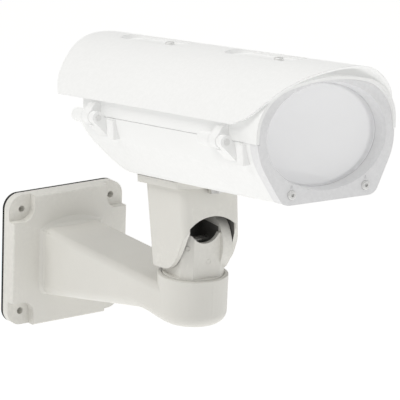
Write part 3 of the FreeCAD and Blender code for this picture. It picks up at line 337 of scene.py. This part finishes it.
def bezel_plastic():
    """Pale grey moulded plastic with a fine grain, and a painted glow that brightens it in the
    shade.
    """
    bezel = Surface("bezel_plastic")
    bezel.tone((0.585, 0.585, 0.592), 0.010, 10.0)
    bezel.overlay(bezel.edges(0.53, 0.60, 0.4), (0.68, 0.68, 0.685))
    bezel.roughness(0.42, 0.56, 70.0)
    bezel.soften(0.0006)
    bezel.relief(bezel.noise(1500.0, 2.0), 0.14, 0.0002)
    # Painted light: an even glow brightens the bezel where it is in shade.
    bezel.glow(0.18)
    return bezel


def window_glass():
    """Flat window: mostly clear, with a pale haze, partly a painted glow, and faint streaks from
    wiping.
    """
    glass = Surface("window_glass")
    streaks = glass.noise(16.0, 5.0, 0.6, (1.0, 1.0, 5.0))
    glass.tone((0.88, 0.88, 0.895), 0.015, 12.0)
    glass.join(glass.remap(streaks, 0.35, 0.75, 0.015, 0.07), glass.shader.inputs["Roughness"])
    glass.value("IOR", 1.5)
    glass.value("Specular IOR Level", 0.8)
    glass.value("Alpha", 0.50)
    # Painted light: an even glow lifts the window's haze to a pale grey.
    glass.glow(0.25)
    glass.value("Coat Weight", 1.0)
    glass.value("Coat Roughness", 0.02)
    glass.relief(streaks, 0.02, 0.0002)
    return glass


def lens_glass():
    """Dark coated glass with a drift of violet and green."""
    lens = Surface("lens_glass")
    lens.tone((0.05, 0.04, 0.10), 0.3, 40.0, (0.03, 0.09, 0.07))
    lens.roughness(0.02, 0.06, 50.0)
    lens.value("Coat Weight", 1.0)
    lens.value("Coat Roughness", 0.01)
    lens.relief(lens.noise(60.0), 0.02, 0.0002)
    return lens


def rubber():
    """Matt black rubber with dust in its texture."""
    seal = Surface("gasket_rubber")
    seal.tone((0.012, 0.0115, 0.0115), 0.25, 40.0)
    seal.overlay(seal.remap(seal.noise(220.0), 0.60, 0.80, 0.0, 0.35), (0.035, 0.034, 0.032))
    seal.roughness(0.70, 0.92, 90.0)
    seal.relief(seal.noise(900.0), 0.3, 0.0003)
    return seal


def window_seal():
    """Pale silicone cord around the window, hard to tell from the bezel."""
    seal = Surface("window_seal")
    seal.tone((0.56, 0.56, 0.565), 0.03, 60.0)
    seal.roughness(0.55, 0.72, 120.0)
    seal.relief(seal.noise(1100.0), 0.2, 0.0002)
    return seal


def steel():
    """Stainless fasteners: fine turned marks and a little tarnish."""
    metal = Surface("steel")
    metal.value("Metallic", 1.0)
    metal.tone((0.60, 0.595, 0.58), 0.08, 300.0)
    metal.overlay(metal.edges(0.52, 0.60, 0.5), (0.80, 0.80, 0.79))
    metal.roughness(0.24, 0.42, 500.0)
    metal.soften(0.0003)
    metal.relief(metal.noise(1800.0, 2.0, 0.5, (1.0, 1.0, 6.0)), 0.15, 0.0002)
    return metal


def pale_steel():
    """Screws and hinge pins on the housing, with a pale dull passivated finish."""
    metal = Surface("pale_steel")
    metal.value("Metallic", 0.35)
    metal.tone((0.80, 0.80, 0.79), 0.03, 300.0)
    metal.roughness(0.32, 0.48, 500.0)
    metal.soften(0.0003)
    metal.relief(metal.noise(1600.0, 2.0), 0.12, 0.0002)
    return metal


def inner_metal():
    """Brushed sheet metal inside the housing."""
    metal = Surface("inner_metal")
    metal.value("Metallic", 0.9)
    metal.tone((0.66, 0.67, 0.68), 0.04, 60.0)
    metal.overlay(metal.edges(0.52, 0.60, 0.4), (0.85, 0.85, 0.86))
    metal.roughness(0.30, 0.48, 90.0)
    metal.relief(metal.noise(500.0, 3.0, 0.5, (0.2, 1.0, 1.0)), 0.12, 0.0002)
    return metal


def dark_plastic():
    """Near-black grained plastic with rubbed edges."""
    case = Surface("dark_plastic")
    case.tone((0.030, 0.030, 0.033), 0.12, 30.0)
    case.overlay(case.edges(0.53, 0.60, 0.5), (0.09, 0.09, 0.095))
    case.roughness(0.42, 0.62, 120.0)
    case.relief(case.noise(1600.0, 2.0), 0.2, 0.0002)
    return case


def plug_plastic():
    """Grey moulded plastic of the plug under the ring."""
    plug = Surface("plug_plastic")
    plug.tone((0.42, 0.41, 0.38), 0.03, 30.0)
    plug.roughness(0.5, 0.68, 90.0)
    plug.soften(0.0005)
    plug.relief(plug.noise(1200.0, 2.0), 0.15, 0.0002)
    return plug


def friction_disc():
    """Dark sintered disc."""
    disc = Surface("friction_disc")
    disc.tone((0.045, 0.043, 0.040), 0.25, 400.0)
    disc.roughness(0.6, 0.8, 300.0)
    disc.relief(disc.noise(1200.0), 0.25, 0.0002)
    return disc


def swivel_nut():
    """Plated nut with turned marks."""
    nut = Surface("swivel_nut")
    nut.value("Metallic", 0.9)
    nut.tone((0.60, 0.60, 0.60), 0.05, 80.0)
    nut.roughness(0.28, 0.44, 120.0)
    nut.relief(nut.noise(900.0, 2.0, 0.5, (1.0, 1.0, 5.0)), 0.15, 0.0002)
    return nut


def circuit_board():
    """Green board under lacquer, with small pale islands."""
    board = Surface("circuit_board")
    board.tone((0.010, 0.110, 0.040), 0.2, 120.0)
    board.overlay(board.remap(board.noise(500.0, 1.0), 0.60, 0.62, 0.0, 0.8), (0.03, 0.20, 0.09))
    board.roughness(0.25, 0.4, 200.0)
    board.relief(board.noise(500.0, 1.0), 0.2, 0.0001)
    return board


def terminal_plastic():
    """Dark green moulded plastic."""
    block = Surface("terminal_plastic")
    block.tone((0.04, 0.16, 0.09), 0.1, 120.0)
    block.roughness(0.45, 0.6, 200.0)
    block.relief(block.noise(1500.0), 0.15, 0.0002)
    return block


def brass():
    """Turned brass with rubbed edges."""
    metal = Surface("brass")
    metal.value("Metallic", 1.0)
    metal.tone((0.62, 0.44, 0.16), 0.12, 200.0)
    metal.overlay(metal.edges(0.52, 0.60, 0.5), (0.86, 0.68, 0.34))
    metal.roughness(0.25, 0.42, 400.0)
    metal.relief(metal.noise(1500.0, 2.0, 0.5, (1.0, 1.0, 6.0)), 0.15, 0.0002)
    return metal


SLOT_SURFACES = {
    "gasket_rubber": rubber, "casting_coat": casting_coat, "bottom_plug": plug_plastic,
    "steel": steel, "friction_discs": friction_disc, "swivel_nut": swivel_nut,
    "housing_plastic": housing_plastic, "bezel_plastic": bezel_plastic, "window": window_glass,
    "inner_metal": inner_metal, "dark_plastic": dark_plastic, "lens": lens_glass,
    "board_green": circuit_board, "terminal_plastic": terminal_plastic, "brass": brass,
}
NODE_SURFACES = {"yoke": yoke_coat_painted_shade, "swivel_knuckle": knuckle_coat_painted_shade,
                 "bezel_screws": pale_steel, "hinge_pins": pale_steel,
                 "sunshield_screws": pale_steel, "window_gasket": window_seal}


def dress_nodes():
    """Gives every CAD node the finish of its slot in the record, or its own."""
    made = {}
    for part in frame["record"]["subparts"]:
        node = part["node"]
        maker = NODE_SURFACES.get(node) or SLOT_SURFACES[part["material_slot"]]
        if maker not in made:
            made[maker] = maker().material
        mesh = frame["nodes"][node].data
        mesh.materials.clear()
        mesh.materials.append(made[maker])


# ---------------------------------------------------------------- ejector pin marks

def pin_mark(name, centre, outward, material):
    """A shallow ring standing on the casting, where an ejector pin met it."""
    across = outward.orthogonal().normalized()
    above = outward.cross(across)
    shoulder = 0.4 * PIN_PROUD
    section = [(PIN_INNER, -PIN_SUNK), (PIN_INNER, shoulder),
               (0.5 * (PIN_INNER + PIN_OUTER), PIN_PROUD),
               (PIN_OUTER, shoulder), (PIN_OUTER, -PIN_SUNK)]
    shape = bmesh.new()
    rings = []
    for step in range(PIN_STEPS):
        turn = 2.0 * math.pi * step / PIN_STEPS
        radial = across * math.cos(turn) + above * math.sin(turn)
        rings.append([shape.verts.new(centre + radial * radius + outward * proud)
                      for radius, proud in section])
    for one, two in zip(rings, rings[1:] + rings[:1]):
        for low in range(len(section)):
            high = (low + 1) % len(section)
            shape.faces.new((one[low], two[low], two[high], one[high])).smooth = True
    bmesh.ops.recalc_face_normals(shape, faces=shape.faces[:])
    mesh = bpy.data.meshes.new(name)
    shape.to_mesh(mesh)
    shape.free()
    mesh.materials.append(material)
    mark = bpy.data.objects.new(name, mesh)
    bpy.context.collection.objects.link(mark)
    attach(mark, "swivel")


def add_pin_marks():
    """One mark on the knuckle's front and one on its right front facet."""
    forward, left, up = swivel_axes()
    material = casting_coat("pin_mark_coat").material
    front_place = PIVOT + forward * KNUCKLE_FRONT + left * 0.0018 - up * 0.0139
    pin_mark("pin_mark_front", front_place, forward, material)
    along = (forward * FACET_FORWARD + left * FACET_LEFT).normalized()
    facet_place = PIVOT + forward * 0.0219 - left * 0.0202 + up * 0.0007
    pin_mark("pin_mark_side", facet_place, along.cross(up).normalized(), material)


add_camera()
add_light()
add_floor()
dress_nodes()
add_pin_marks()
